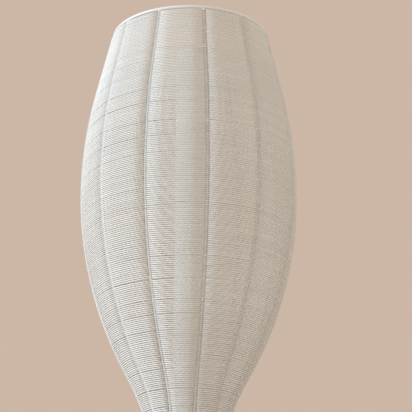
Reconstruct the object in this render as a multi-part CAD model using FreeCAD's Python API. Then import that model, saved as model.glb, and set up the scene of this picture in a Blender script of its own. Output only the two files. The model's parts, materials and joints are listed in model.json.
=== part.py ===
import FreeCAD, Part

# A floor lantern: paper cord wound in close turns over a waisted frame of twelve wire ribs, standing on a
# weighted plate. An opal light column stands on the plate inside the frame and lifts out of the open top.
# Millimetres, +Z up, the origin on the floor under the column. The front of the lamp faces -Y.

import math
import os

# ---- The shade's side outline, on the outer face of the wound cord ----
RIM_HEIGHT = 1397.0  # centre of the rim ring's wire
CHEST_HEIGHT = 1295.0  # from here up to the rim the side is straight
SHOULDER_ARC = 700.0  # radius of the side between the chest and the belly
BELLY_RADIUS = 170.0
BELLY_HEIGHT = 1135.0
BELLY_ARC = 588.0  # radius of the side below the belly, before it turns in to the waist
WAIST_RADIUS = 52.0
WAIST_HEIGHT = 689.0
HEM_RADIUS = 135.0  # at the foot ring

# ---- The wound cord: a thin layer on the ribs, and the turns that show on it ----
CORD_DIAMETER = 2.4
LAYER_THICKNESS = 1.0
LAYER_GAP = 0.3  # between the layer and the turns on it
SHOWN_TURNS = 24  # of the close turns that the real shade has
SEAM_GAP = 0.3  # where one length of cord is tied off behind a hoop and the next begins
HEM_BAND = 1.0  # room between the frame's wires and the first turn of cord

# ---- The wire frame ----
RIB_WIRE = 3.0
RIM_WIRE = 5.0
HOOP_WIRE = 3.0
FOOT_WIRE = 5.0
WELD_GAP = 0.2
BELLY_HOOP_HEIGHT = 1069.0
WAIST_RING_HEIGHT = 776.0
LOWER_HOOP_HEIGHT = 360.0
# Each rib's turn round the column, in degrees from the front, rising to the right of the lamp.
RIB_TURNS = (-52, -23, 9, 38, 71, 97, 123, 152, 183, 213, 245, 277)
TIE_OFF_TURN = 183.0  # the rib at the back, where the cord begins

# ---- The base plate and its pads ----
PAD_RADIUS = 12.0
PAD_THICKNESS = 3.0
PAD_COUNT = 4
PAD_RING_RADIUS = 105.0
PAD_FIRST_TURN = 45.0
PLATE_RADIUS = 138.0
PLATE_THICKNESS = 8.0
PLATE_EDGE = 3.0
CORD_NOTCH_WIDTH = 9.0  # where a mains lead leaves under the foot ring, at the back
CORD_NOTCH_REACH = 30.0

# ---- The clips that hold the foot ring down ----
CLIP_COUNT = 4
CLIP_WIDTH = 14.0
CLIP_THICKNESS = 1.6
CLIP_TAB = 20.0
CLIP_CLEARANCE = 0.5

# ---- Screws: shank radius, head radius, head height ----
SMALL_SCREW = (1.5, 2.8, 2.0)
CLIP_SCREW = (2.0, 3.8, 2.6)
FOOT_SCREW = (2.5, 4.4, 3.0)
SCREW_CLEARANCE = 0.15
PLATE_SCREW_DEPTH = 6.0
SOCKET_SHARE = 0.5  # the drive socket's size as a share of the head

# ---- The wiring cover on the plate ----
COVER_RADIUS = 78.0
COVER_HEIGHT = 36.0
COVER_WALL = 2.0
COVER_EDGE = 6.0
COVER_FLANGE = 9.0
COVER_SCREWS = 3
COVER_HOLE_GAP = 0.8  # round the column

# ---- The cord inlet in the back of the cover ----
INLET_BORE = 3.75
GLAND_BARREL = 6.0
GLAND_FLANGE = 9.5
GLAND_FLANGE_THICKNESS = 4.0
GLAND_NOSE = 9.0
GLAND_HEIGHT = 17.0  # above the plate
NUT_ACROSS = 17.0
NUT_SIDES = 6
NUT_THICKNESS = 4.0
THREAD_GAP = 0.1
THREAD_SHOWN = 1.0  # past the nut
GLAND_TIP_WALL = 1.5

# ---- Wiring ----
BLOCK_SIZE = (30.0, 14.0, 15.0)
BLOCK_POLES = 3
BLOCK_WELL_RADIUS = 3.3
BLOCK_DISTANCE = 50.0  # behind the column's axis
EARTH_SCREW_DISTANCE = 44.0  # to the right of the block's middle
EARTH_TAG = (4.0, 1.0)  # radius and thickness
WIRE_RADIUS = 1.0
WIRE_SPACING = 6.0
WIRE_RISE = 8.0  # above the plate
WIRE_BEND = 8.0
WIRE_BACK = 2.0  # how far behind the axis the wires climb

# ---- The light column ----
TUBE_RADIUS = 22.5
TUBE_WALL = 2.0
TUBE_TOP = 1374.0
CAP_LIP = 1.0
CAP_THICKNESS = 3.0
CAP_SPIGOT = 8.0
CAP_SPIGOT_WALL = 2.5
CAP_FIT = 0.25
WASHER_THICKNESS = 1.5

# ---- The column's foot ----
FOOT_FLANGE_RADIUS = 34.0
FOOT_FLANGE_THICKNESS = 5.0
FOOT_SCREWS = 3
FOOT_SCREW_RING = 28.5
SHOULDER_HEIGHT = 15.0  # above the plate, where the column's tube rests
SHOULDER_LIP = 1.5
HUB_FIT = 0.3
HUB_HEIGHT = 20.0
WIRE_WELL = 7.0
SLOT_WIDTH = 12.0
SLOT_HEIGHT = 6.0

# ---- The spine inside the column ----
SPINE_WIDTH = 13.0
SPINE_DEPTH = 5.5
SPINE_WALL = 1.5
SPINE_FACE = -11.5  # the face that the lamp holders are screwed to
SPINE_SEAT = 2.0  # the depth of the hub left under it
SPINE_ABOVE_HOLDER = 10.0
SPINE_FIT = 0.2
SPINE_PIN_RADIUS = 1.5

# ---- The lamp and its two turning holders ----
LAMP_LENGTH = 1199.4  # over the two end caps, without the pins
LAMP_RADIUS = 13.0
LAMP_OFFSET = 4.0
LAMP_BOTTOM = 100.0
LAMP_CAP_LENGTH = 18.0
LAMP_CAP_WALL = 0.7
GLASS_WALL = 1.0
GLASS_SEAT = 12.0
PIN_RADIUS = 1.175
PIN_SPACING = 12.7
PIN_LENGTH = 7.5
BOARD_WIDTH = 14.0
BOARD_THICKNESS = 1.6
BOARD_END_GAP = 4.0
HOLDER_HEIGHT = 20.0
HOLDER_WIDTH = 22.0
HOLDER_FRONT = 14.0
HOLDER_CORNER = 3.0
HOLDER_GAP = 0.3
ROTOR_RADIUS = 8.5
ROTOR_THICKNESS = 9.0
ROTOR_FIT = 0.2
PIN_SLOT_GAP = 0.3
HOLDER_SCREW_SPARE = 1.0  # from its tip to the rotor's pocket
HOLDER_HOLE_SPARE = 0.5  # past its tip

# ---- The waist collar that keeps the column upright ----
COLLAR_FIT = 1.0
COLLAR_WALL = 3.0
COLLAR_HEIGHT = 12.0
SPOKE_WIRE = 4.0
SPOKE_COUNT = 3
SPOKE_FIRST_TURN = 60.0

# ---- Levels and places that follow from the values above ----
PLATE_TOP = PAD_THICKNESS + PLATE_THICKNESS
LAYER_OUTSIDE = CORD_DIAMETER + LAYER_GAP  # depths below the outline
LAYER_INSIDE = LAYER_OUTSIDE + LAYER_THICKNESS
RIB_DEPTH = LAYER_INSIDE + WELD_GAP + RIB_WIRE / 2
HOOP_DEPTH = RIB_DEPTH + RIB_WIRE / 2 + WELD_GAP + HOOP_WIRE / 2
FOOT_RING_HEIGHT = PLATE_TOP + WELD_GAP + FOOT_WIRE / 2
CLIP_OUTER = FOOT_WIRE / 2 + CLIP_CLEARANCE + CLIP_THICKNESS
HEM_HEIGHT = FOOT_RING_HEIGHT + CLIP_OUTER + HEM_BAND
SHOULDER_LEVEL = PLATE_TOP + SHOULDER_HEIGHT
TUBE_BOTTOM = SHOULDER_LEVEL + WASHER_THICKNESS
TUBE_BORE = TUBE_RADIUS - TUBE_WALL
HUB_TOP = SHOULDER_LEVEL + HUB_HEIGHT
LAMP_TOP = LAMP_BOTTOM + LAMP_LENGTH
LOWER_HOLDER_TOP = LAMP_BOTTOM - HOLDER_GAP
UPPER_HOLDER_BOTTOM = LAMP_TOP + HOLDER_GAP
SPINE_BOTTOM = SHOULDER_LEVEL + SPINE_SEAT
SPINE_TOP = UPPER_HOLDER_BOTTOM + HOLDER_HEIGHT + SPINE_ABOVE_HOLDER
PIN_LEVEL = (SPINE_BOTTOM + HUB_TOP) / 2

UP = FreeCAD.Vector(0, 0, 1)
RIGHT = FreeCAD.Vector(1, 0, 0)
BACK = FreeCAD.Vector(0, 1, 0)
ORIGIN = FreeCAD.Vector(0, 0, 0)


# ---- Points and plain solids ----
def polar(radius, turn, height):
    """A point at that radius, turned from the front of the lamp towards its right."""
    angle = math.radians(turn)
    return FreeCAD.Vector(radius * math.sin(angle), -radius * math.cos(angle), height)


def cylinder(radius, low, high, x=0.0, y=0.0):
    return Part.makeCylinder(radius, high - low, FreeCAD.Vector(x, y, low))


def pipe(outer, inner, low, high):
    return cylinder(outer, low, high).cut(cylinder(inner, low, high))


def block(x, y, z):
    """A box between two values along each axis."""
    corner = FreeCAD.Vector(x[0], y[0], z[0])
    return Part.makeBox(x[1] - x[0], y[1] - y[0], z[1] - z[0], corner)


def turned(edges):
    """The solid that a closed outline in the X-Z plane makes when it is turned round the column's axis."""
    return Part.Face(Part.Wire(edges)).revolve(ORIGIN, UP, 360)


def turned_steps(points):
    """The same from the corners of a straight-sided outline, given as radius and height."""
    corners = [FreeCAD.Vector(radius, 0, height) for radius, height in points]
    return turned(Part.makePolygon(corners + corners[:1]).Edges)


def placed(solid, turn):
    """A solid made on the X axis, moved round to that turn from the front."""
    copy = solid.copy()
    copy.rotate(ORIGIN, UP, turn - 90)
    return copy


def together(solids):
    return Part.makeCompound(solids)


def screw(size, length, head_seat, down=True):
    """A socket screw on the Z axis: its head rests at head_seat and its shank runs on from there."""
    shank_radius, head_radius, head_height = size
    side = -1 if down else 1
    shank = Part.makeCylinder(shank_radius, length, FreeCAD.Vector(0, 0, head_seat), UP * side)
    head = Part.makeCylinder(head_radius, head_height, FreeCAD.Vector(0, 0, head_seat), UP * -side)
    depth = head_height * SOCKET_SHARE
    top = FreeCAD.Vector(0, 0, head_seat - side * head_height)
    socket = Part.makeCylinder(head_radius * SOCKET_SHARE, depth, top, UP * side)
    return shank.fuse(head).cut(socket)


def screw_hole(size, low, high):
    return cylinder(size[0] + SCREW_CLEARANCE, low, high)


# ---- The side outline: a straight run below the rim, then four tangent arcs down to the foot ----
def tangent_arc(across, along):
    """Radius of an arc that starts upright and ends that far across and along."""
    return (across**2 + along**2) / (2 * across)


def outline_arcs(depth):
    """Each arc's centre radius, centre height, own radius and bulge, set in below the cord's outer face."""
    both = tangent_arc(BELLY_RADIUS - WAIST_RADIUS, BELLY_HEIGHT - WAIST_HEIGHT)
    waist = both - BELLY_ARC
    hem = tangent_arc(HEM_RADIUS - WAIST_RADIUS, WAIST_HEIGHT - FOOT_RING_HEIGHT)
    return (
        (BELLY_RADIUS - SHOULDER_ARC, BELLY_HEIGHT, SHOULDER_ARC - depth, 1),
        (BELLY_RADIUS - BELLY_ARC, BELLY_HEIGHT, BELLY_ARC - depth, 1),
        (WAIST_RADIUS + waist, WAIST_HEIGHT, waist + depth, -1),
        (WAIST_RADIUS + hem, WAIST_HEIGHT, hem + depth, -1),
    )


def chest_lean():
    """How far the straight run below the rim leans in, in radians."""
    return math.asin((CHEST_HEIGHT - BELLY_HEIGHT) / SHOULDER_ARC)


def outline_joints(depth):
    """The heights, from the top down, at which one stretch of the outline runs into the next."""
    shoulder, belly, waist, _ = outline_arcs(depth)
    chest = BELLY_HEIGHT + shoulder[2] * math.sin(chest_lean())
    climb = (waist[1] - belly[1]) / math.hypot(waist[0] - belly[0], waist[1] - belly[1])
    return chest, BELLY_HEIGHT, BELLY_HEIGHT + climb * belly[2], WAIST_HEIGHT


def radius_at(height, depth):
    """The shade's radius at a height, set in by that depth."""
    chest, *joints = outline_joints(depth)
    if height > chest:
        return radius_at(chest, depth) - (height - chest) * math.tan(chest_lean())
    above = [height >= joint for joint in joints] + [True]
    centre_radius, centre_height, arc, bulge = outline_arcs(depth)[above.index(True)]
    return centre_radius + bulge * math.sqrt(arc**2 - (height - centre_height) ** 2)


def side_edges(depth, low, high, turn):
    """The outline between two heights, bottom first, in the upright plane at that turn."""
    joints = [joint for joint in sorted(outline_joints(depth)) if low < joint < high]
    stops = [low] + joints + [high]
    edges = []
    for start, end in zip(stops, stops[1:]):
        places = [polar(radius_at(z, depth), turn, z) for z in (start, (start + end) / 2, end)]
        if start < outline_joints(depth)[0]:
            edges.append(Part.Arc(*places).toShape())
        else:
            edges.append(Part.makeLine(places[0], places[2]))
    return edges


# ---- The wire frame ----
def swept_wire(edges, wire):
    """Round wire bent along a run of tangent edges."""
    path = Part.Wire(edges)
    start = edges[0].valueAt(edges[0].FirstParameter)
    heading = edges[0].tangentAt(edges[0].FirstParameter)
    section = Part.Wire(Part.makeCircle(wire / 2, start, heading))
    return path.makePipeShell([section], True, False)


def rib(turn):
    low = FOOT_RING_HEIGHT + FOOT_WIRE / 2 + WELD_GAP
    high = RIM_HEIGHT - RIM_WIRE / 2 - WELD_GAP
    return swept_wire(side_edges(RIB_DEPTH, low, high, turn), RIB_WIRE)


def ring(height, depth, wire):
    return Part.makeTorus(radius_at(height, depth), wire / 2, FreeCAD.Vector(0, 0, height), UP)


def clip_turns():
    """Clips sit midway between two ribs, evenly round the foot ring."""
    step = len(RIB_TURNS) // CLIP_COUNT
    firsts = range(0, step * CLIP_COUNT, step)
    return [(RIB_TURNS[first] + RIB_TURNS[first + 1]) / 2 for first in firsts]


def clip():
    """One strap on the X axis: a tab on the plate, a leg, and an arch over the foot ring's wire."""
    middle = radius_at(FOOT_RING_HEIGHT, RIB_DEPTH)
    inner = CLIP_OUTER - CLIP_THICKNESS
    half = CLIP_WIDTH / 2
    start = FreeCAD.Vector(middle, -half, FOOT_RING_HEIGHT)
    arch = Part.makeCylinder(CLIP_OUTER, CLIP_WIDTH, start, BACK)
    arch = arch.cut(Part.makeCylinder(inner, CLIP_WIDTH, start, BACK))
    reach = (middle - CLIP_OUTER, middle + CLIP_OUTER)
    arch = arch.cut(block(reach, (-half, half), (FOOT_RING_HEIGHT - CLIP_OUTER, FOOT_RING_HEIGHT)))
    leg = block((middle - CLIP_OUTER, middle - inner), (-half, half), (PLATE_TOP, FOOT_RING_HEIGHT))
    tab_reach = (middle - CLIP_OUTER - CLIP_TAB, middle - inner)
    tab = block(tab_reach, (-half, half), (PLATE_TOP, PLATE_TOP + CLIP_THICKNESS))
    hole = screw_hole(CLIP_SCREW, PLATE_TOP, PLATE_TOP + CLIP_THICKNESS)
    hole.translate(FreeCAD.Vector(clip_screw_radius(), 0, 0))
    return arch.fuse(leg).fuse(tab).cut(hole).removeSplitter()


def clip_screw_radius():
    return radius_at(FOOT_RING_HEIGHT, RIB_DEPTH) - CLIP_OUTER - CLIP_TAB / 2


# ---- The cord layer and its turns ----
def cord_layer(low, high):
    """The closely wound cord as a thin shell that follows the outline."""
    outer = side_edges(LAYER_OUTSIDE, low, high, 90)
    inner = side_edges(LAYER_INSIDE, low, high, 90)
    ends = []
    for height in (low, high):
        outside = polar(radius_at(height, LAYER_OUTSIDE), 90, height)
        inside = polar(radius_at(height, LAYER_INSIDE), 90, height)
        ends.append(Part.makeLine(outside, inside))
    return turned(Part.__sortEdges__(outer + inner + ends))


def turn_place(turns, low, high, count):
    """Where the cord's centre is after so many turns, wound from the low end to the high one."""
    height = low + (high - low) * turns / count
    return polar(radius_at(height, CORD_DIAMETER / 2), TIE_OFF_TURN + 360 * turns, height)


def turn_heading(turns, low, high, count):
    step = 0.001
    ahead = turn_place(min(turns + step, count), low, high, count)
    behind = turn_place(max(turns - step, 0), low, high, count)
    return (ahead - behind).normalize()


def arc_from(start, heading, end):
    """The arc that leaves start along heading and reaches end."""
    chord = end - start
    along = FreeCAD.Vector(chord).normalize()
    half_turn = math.acos(max(-1.0, min(1.0, heading.dot(along))))
    out = (heading - along * heading.dot(along)).normalize()
    middle = (start + end) * 0.5 + out * (chord.Length / 2 * math.tan(half_turn / 2))
    return Part.Arc(start, middle, end).toShape()


def pair_of_arcs(start, heading, end, end_heading):
    """Two arcs that share a tangent where they meet, between two points with set headings."""
    chord = end - start
    both = heading + end_heading
    spread = 2 * (1 - heading.dot(end_heading))
    reach = (math.sqrt(chord.dot(both) ** 2 + spread * chord.dot(chord)) - chord.dot(both)) / spread
    middle = (start + end + (heading - end_heading) * reach) * 0.5
    first = arc_from(start, heading, middle)
    meeting = first.tangentAt(first.LastParameter)
    return [first, arc_from(middle, meeting, end)]


def winding(low, high, name):
    """The shown turns of cord as one unbroken tube, with a straight end one diameter long at each end."""
    stops = [quarter / 4 for quarter in range(4 * SHOWN_TURNS + 1)]
    places = [turn_place(stop, low, high, SHOWN_TURNS) for stop in stops]
    headings = [turn_heading(stop, low, high, SHOWN_TURNS) for stop in stops]
    edges = [Part.makeLine(places[0] - headings[0] * CORD_DIAMETER, places[0])]
    for index in range(len(stops) - 1):
        pair = pair_of_arcs(places[index], headings[index], places[index + 1], headings[index + 1])
        edges.extend(pair)
    edges.append(Part.makeLine(places[-1], places[-1] + headings[-1] * CORD_DIAMETER))
    print(name, "least gap to itself %.2f mm" % least_gap(low, high))
    return swept_wire(edges, CORD_DIAMETER)


def least_gap(low, high, per_turn=24):
    """The smallest clear distance between neighbouring turns, measured on that many points in each."""
    count = per_turn * SHOWN_TURNS
    points = [turn_place(index / per_turn, low, high, SHOWN_TURNS) for index in range(count + 1)]
    gaps = []
    for index, point in enumerate(points):
        for other in points[index + per_turn // 2 : index + 2 * per_turn]:
            gaps.append(point.distanceToPoint(other))
    return min(gaps) - CORD_DIAMETER


def layer_spans():
    """The low and high ends of the four lengths of cord, from the foot up. Each is tied off at a hoop."""
    (foot, waist_low), (waist_high, rim) = winding_ends()
    half = SEAM_GAP / 2
    return {
        "skirt": (foot, LOWER_HOOP_HEIGHT - half),
        "neck": (LOWER_HOOP_HEIGHT + half, waist_low),
        "belly": (waist_high, BELLY_HOOP_HEIGHT - half),
        "shoulder": (BELLY_HOOP_HEIGHT + half, rim),
    }


def winding_ends():
    """The low and high ends of the lower and of the upper winding."""
    waist_room = HOOP_WIRE / 2 + HEM_BAND
    upper_high = RIM_HEIGHT - RIM_WIRE / 2 - HEM_BAND
    lower = (HEM_HEIGHT, WAIST_RING_HEIGHT - waist_room)
    upper = (WAIST_RING_HEIGHT + waist_room, upper_high)
    return lower, upper


def inside_ends(ends):
    """The same ends, for the centre of the cord."""
    return ends[0] + CORD_DIAMETER / 2, ends[1] - CORD_DIAMETER / 2


# ---- The base ----
def base_plate():
    plate = cylinder(PLATE_RADIUS, PAD_THICKNESS, PLATE_TOP)
    rims = [edge for edge in plate.Edges if edge.Closed and edge.BoundBox.ZMax > PLATE_TOP - PLATE_EDGE / 2]
    plate = plate.makeFillet(PLATE_EDGE, rims)
    low = PLATE_TOP - PLATE_SCREW_DEPTH
    for size, radius, turns in plate_screws():
        hole = screw_hole(size, low, PLATE_TOP)
        hole.translate(FreeCAD.Vector(radius, 0, 0))
        for turn in turns:
            plate = plate.cut(placed(hole, turn))
    return plate.cut(cord_notch())


def cord_notch():
    """A round-ended slot in from the plate's back edge, right through it."""
    half = CORD_NOTCH_WIDTH / 2
    end = PLATE_RADIUS - CORD_NOTCH_REACH + half
    slot = block((-half, half), (end, PLATE_RADIUS + half), (PAD_THICKNESS, PLATE_TOP))
    return slot.fuse(cylinder(half, PAD_THICKNESS, PLATE_TOP, 0, end))


def evenly(count, first=0.0):
    return [first + 360 * index / count for index in range(count)]


def plate_screws():
    """Every kind of screw in the plate: its size, its distance from the axis, and its turns."""
    return (
        (CLIP_SCREW, clip_screw_radius(), clip_turns()),
        (CLIP_SCREW, cover_screw_radius(), evenly(COVER_SCREWS)),
        (FOOT_SCREW, FOOT_SCREW_RING, evenly(FOOT_SCREWS)),
        (CLIP_SCREW, *earth_place()),
    )


def earth_place():
    """The earth screw's distance from the column's axis, and its turn."""
    distance = math.hypot(EARTH_SCREW_DISTANCE, BLOCK_DISTANCE)
    turn = 90 + math.degrees(math.atan2(BLOCK_DISTANCE, EARTH_SCREW_DISTANCE))
    return distance, [turn]


def plate_screw_set(kind, clamped):
    """The screws of one kind, with their heads on a part of that thickness."""
    size, radius, turns = plate_screws()[kind]
    one = screw(size, clamped + PLATE_SCREW_DEPTH - WELD_GAP, PLATE_TOP + clamped)
    one.translate(FreeCAD.Vector(radius, 0, 0))
    return together([placed(one, turn) for turn in turns])


def foot_pads():
    pads = []
    for turn in evenly(PAD_COUNT, PAD_FIRST_TURN):
        spot = polar(PAD_RING_RADIUS, turn, 0)
        pads.append(cylinder(PAD_RADIUS, 0, PAD_THICKNESS, spot.x, spot.y))
    return together(pads)


def cover_screw_radius():
    return COVER_RADIUS + COVER_FLANGE / 2


def wiring_cover():
    top = PLATE_TOP + COVER_HEIGHT
    hole = TUBE_RADIUS + COVER_HOLE_GAP
    flange = COVER_RADIUS + COVER_FLANGE
    inside = COVER_RADIUS - COVER_WALL
    outer = turned_steps(
        (
            (hole, top),
            (COVER_RADIUS, top),
            (COVER_RADIUS, PLATE_TOP + COVER_WALL),
            (flange, PLATE_TOP + COVER_WALL),
            (flange, PLATE_TOP),
            (hole, PLATE_TOP),
        )
    )
    middle = (PLATE_TOP + top) / 2
    edge = [e for e in outer.Edges if e.BoundBox.ZMin > middle and e.BoundBox.XMax > inside]
    outer = outer.makeFillet(COVER_EDGE, edge)
    hollow = cylinder(inside, PLATE_TOP, top - COVER_WALL)
    edge = [e for e in hollow.Edges if e.Closed and e.BoundBox.ZMin > middle]
    hollow = hollow.makeFillet(COVER_EDGE - COVER_WALL, edge)
    cover = outer.cut(hollow)
    for turn in evenly(COVER_SCREWS):
        spot = polar(cover_screw_radius(), turn, 0)
        radius = CLIP_SCREW[0] + SCREW_CLEARANCE
        cover = cover.cut(cylinder(radius, PLATE_TOP, PLATE_TOP + COVER_WALL, spot.x, spot.y))
    return cover.cut(along_back(GLAND_BARREL + THREAD_GAP, inside - COVER_WALL, COVER_RADIUS + COVER_WALL))


def along_back(radius, start, end):
    """A cylinder on the cord inlet's axis, from start to end behind the column."""
    base = FreeCAD.Vector(0, start, PLATE_TOP + GLAND_HEIGHT)
    return Part.makeCylinder(radius, end - start, base, BACK)


def edge_of_wall(radius, half_width):
    """How far behind the column a round wall's surface still is, that far to the side."""
    return math.sqrt(radius**2 - half_width**2)


def nut_corner():
    return NUT_ACROSS / 2 / math.cos(math.pi / NUT_SIDES)


def nut_front():
    return edge_of_wall(COVER_RADIUS - COVER_WALL, nut_corner()) - THREAD_GAP - NUT_THICKNESS


def cord_gland():
    """The inlet for a mains lead: a flange on the cover, a nose outside it, and a barrel through the wall."""
    flange_end = COVER_RADIUS + GLAND_FLANGE_THICKNESS
    inside_end = nut_front() - THREAD_SHOWN
    gland = along_back(GLAND_FLANGE, edge_of_wall(COVER_RADIUS, GLAND_FLANGE), flange_end)
    wall = cylinder(COVER_RADIUS + THREAD_GAP, PLATE_TOP, PLATE_TOP + COVER_HEIGHT)
    gland = gland.cut(wall)
    nose_low = FreeCAD.Vector(0, flange_end, PLATE_TOP + GLAND_HEIGHT)
    nose = Part.makeCone(GLAND_BARREL, INLET_BORE + GLAND_TIP_WALL, GLAND_NOSE, nose_low, BACK)
    gland = gland.fuse(nose).fuse(along_back(GLAND_BARREL, inside_end, flange_end))
    return gland.cut(along_back(INLET_BORE, inside_end, flange_end + GLAND_NOSE)).removeSplitter()


def gland_nut():
    near = nut_front()
    height = PLATE_TOP + GLAND_HEIGHT
    corners = []
    for turn in evenly(NUT_SIDES):
        corner = polar(nut_corner(), turn, 0)
        corners.append(FreeCAD.Vector(corner.x, near, height + corner.y))
    hexagon = Part.Face(Part.makePolygon(corners + corners[:1]))
    nut = hexagon.extrude(BACK * NUT_THICKNESS)
    return nut.cut(along_back(GLAND_BARREL + THREAD_GAP, near, near + NUT_THICKNESS))


def terminal_block():
    width, depth, height = BLOCK_SIZE
    body = block(
        (-width / 2, width / 2),
        (BLOCK_DISTANCE - depth / 2, BLOCK_DISTANCE + depth / 2),
        (PLATE_TOP, PLATE_TOP + height),
    )
    pole = width / BLOCK_POLES
    for index in range(BLOCK_POLES):
        x = (index + 0.5) * pole - width / 2
        well = cylinder(BLOCK_WELL_RADIUS, PLATE_TOP + height / 2, PLATE_TOP + height, x, BLOCK_DISTANCE)
        body = body.cut(well)
    return body


def lead_wire(side):
    """One core from the terminal block, along the plate and up the hollow hub to the lower lamp holder."""
    x = side * WIRE_SPACING / 2
    low = PLATE_TOP + WIRE_RISE
    start = BLOCK_DISTANCE - BLOCK_SIZE[1] / 2
    bend_out = FreeCAD.Vector(x, WIRE_BACK + WIRE_BEND, low)
    bend_up = FreeCAD.Vector(x, WIRE_BACK, low + WIRE_BEND)
    short = WIRE_BEND * (1 - math.cos(math.pi / 4))
    middle = FreeCAD.Vector(x, WIRE_BACK + short, low + short)
    end = FreeCAD.Vector(x, WIRE_BACK, LOWER_HOLDER_TOP - HOLDER_HEIGHT)
    edges = [
        Part.makeLine(FreeCAD.Vector(x, start, low), bend_out),
        Part.Arc(bend_out, middle, bend_up).toShape(),
        Part.makeLine(bend_up, end),
    ]
    return swept_wire(edges, 2 * WIRE_RADIUS)


def earth_tag():
    """A ring on the plate, under the earth screw's head."""
    radius, thickness = EARTH_TAG
    tag = cylinder(radius, PLATE_TOP, PLATE_TOP + thickness, EARTH_SCREW_DISTANCE, BLOCK_DISTANCE)
    hole = screw_hole(CLIP_SCREW, PLATE_TOP, PLATE_TOP + thickness)
    return tag.cut(hole.translated(FreeCAD.Vector(EARTH_SCREW_DISTANCE, BLOCK_DISTANCE, 0)))


def earth_wire():
    """The earth core, from the side of the block down in an easy bend to its tag on the plate."""
    start = FreeCAD.Vector(BLOCK_SIZE[0] / 2, BLOCK_DISTANCE, PLATE_TOP + WIRE_RISE)
    end_x = EARTH_SCREW_DISTANCE - EARTH_TAG[0]
    end = FreeCAD.Vector(end_x, BLOCK_DISTANCE, PLATE_TOP + WIRE_RADIUS)
    run = end.x - start.x
    drop = start.z - end.z
    bend = (run**2 + drop**2) / (4 * drop)
    sag = bend - math.sqrt(bend**2 - (run / 4) ** 2)
    middle = (start + end) * 0.5
    upper = FreeCAD.Vector(start.x + run / 4, BLOCK_DISTANCE, start.z - sag)
    lower = FreeCAD.Vector(end.x - run / 4, BLOCK_DISTANCE, end.z + sag)
    edges = [Part.Arc(start, upper, middle).toShape(), Part.Arc(middle, lower, end).toShape()]
    return swept_wire(edges, 2 * WIRE_RADIUS)


# ---- The light column ----
def column_foot():
    """The turned foot: a flange on the plate, a shoulder under the column's tube, and a hub inside it."""
    shoulder = TUBE_RADIUS + SHOULDER_LIP
    hub = TUBE_BORE - HUB_FIT
    flange_top = PLATE_TOP + FOOT_FLANGE_THICKNESS
    foot = turned_steps(
        (
            (0, PLATE_TOP),
            (FOOT_FLANGE_RADIUS, PLATE_TOP),
            (FOOT_FLANGE_RADIUS, flange_top),
            (shoulder, flange_top),
            (shoulder, SHOULDER_LEVEL),
            (hub, SHOULDER_LEVEL),
            (hub, HUB_TOP),
            (0, HUB_TOP),
        )
    )
    slot_low = PLATE_TOP + WIRE_RISE - SLOT_HEIGHT / 2
    half_slot = SLOT_WIDTH / 2
    foot = foot.cut(cylinder(WIRE_WELL, slot_low, HUB_TOP))
    slot_z = (slot_low, slot_low + SLOT_HEIGHT)
    foot = foot.cut(block((-half_slot, half_slot), (0, FOOT_FLANGE_RADIUS), slot_z))
    pocket = spine_box(SPINE_FIT, SPINE_BOTTOM, HUB_TOP)
    foot = foot.cut(pocket).cut(spine_pin_along(SPINE_PIN_RADIUS + SCREW_CLEARANCE))
    for turn in evenly(FOOT_SCREWS):
        spot = polar(FOOT_SCREW_RING, turn, 0)
        foot = foot.cut(cylinder(FOOT_SCREW[0] + SCREW_CLEARANCE, PLATE_TOP, flange_top, spot.x, spot.y))
    return foot


def spine_box(grow, low, high):
    """The space of the spine's channel, grown on every side but its ends."""
    x = (SPINE_FACE - SPINE_DEPTH - grow, SPINE_FACE + grow)
    half = SPINE_WIDTH / 2 + grow
    return block(x, (-half, half), (low, high))


def spine_pin_along(radius):
    reach = math.sqrt((TUBE_BORE - HUB_FIT) ** 2 - spine_pin_place() ** 2)
    start = FreeCAD.Vector(spine_pin_place(), -reach, PIN_LEVEL)
    return Part.makeCylinder(radius, 2 * reach, start, BACK)


def spine_pin_place():
    return SPINE_FACE - SPINE_DEPTH / 2 - SPINE_WALL / 2


def spine_pin():
    """A cross pin through the hub and the spine, cut flush with the hub."""
    hub = cylinder(TUBE_BORE - HUB_FIT, SHOULDER_LEVEL, HUB_TOP)
    return spine_pin_along(SPINE_PIN_RADIUS).common(hub)


def spine():
    """A channel with its back to the tube's wall and its web to the lamp."""
    half = SPINE_WIDTH / 2 - SPINE_WALL
    hollow_x = (SPINE_FACE - SPINE_DEPTH, SPINE_FACE - SPINE_WALL)
    channel = spine_box(0, SPINE_BOTTOM, SPINE_TOP)
    channel = channel.cut(block(hollow_x, (-half, half), (SPINE_BOTTOM, SPINE_TOP)))
    channel = channel.cut(spine_pin_along(SPINE_PIN_RADIUS + SCREW_CLEARANCE))
    for level in holder_screw_levels():
        channel = channel.cut(holder_screw_hole(level))
    return channel


def holder_screw_levels():
    half = HOLDER_HEIGHT / 2
    return LOWER_HOLDER_TOP - half, UPPER_HOLDER_BOTTOM + half


def holder_screw_length():
    """From the web's back face to just short of the rotor's pocket."""
    pocket = LAMP_OFFSET - ROTOR_RADIUS - ROTOR_FIT
    return pocket - SPINE_FACE + SPINE_WALL - HOLDER_SCREW_SPARE


def holder_screw_hole(level):
    start = FreeCAD.Vector(SPINE_FACE - SPINE_WALL, 0, level)
    depth = holder_screw_length() + HOLDER_HOLE_SPARE
    return Part.makeCylinder(SMALL_SCREW[0] + SCREW_CLEARANCE, depth, start, RIGHT)


def holder_screws():
    screws = []
    for level in holder_screw_levels():
        one = screw(SMALL_SCREW, holder_screw_length(), 0, down=False)
        one.rotate(ORIGIN, BACK, 90)
        one.translate(FreeCAD.Vector(SPINE_FACE - SPINE_WALL, 0, level))
        screws.append(one)
    return together(screws)


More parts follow.
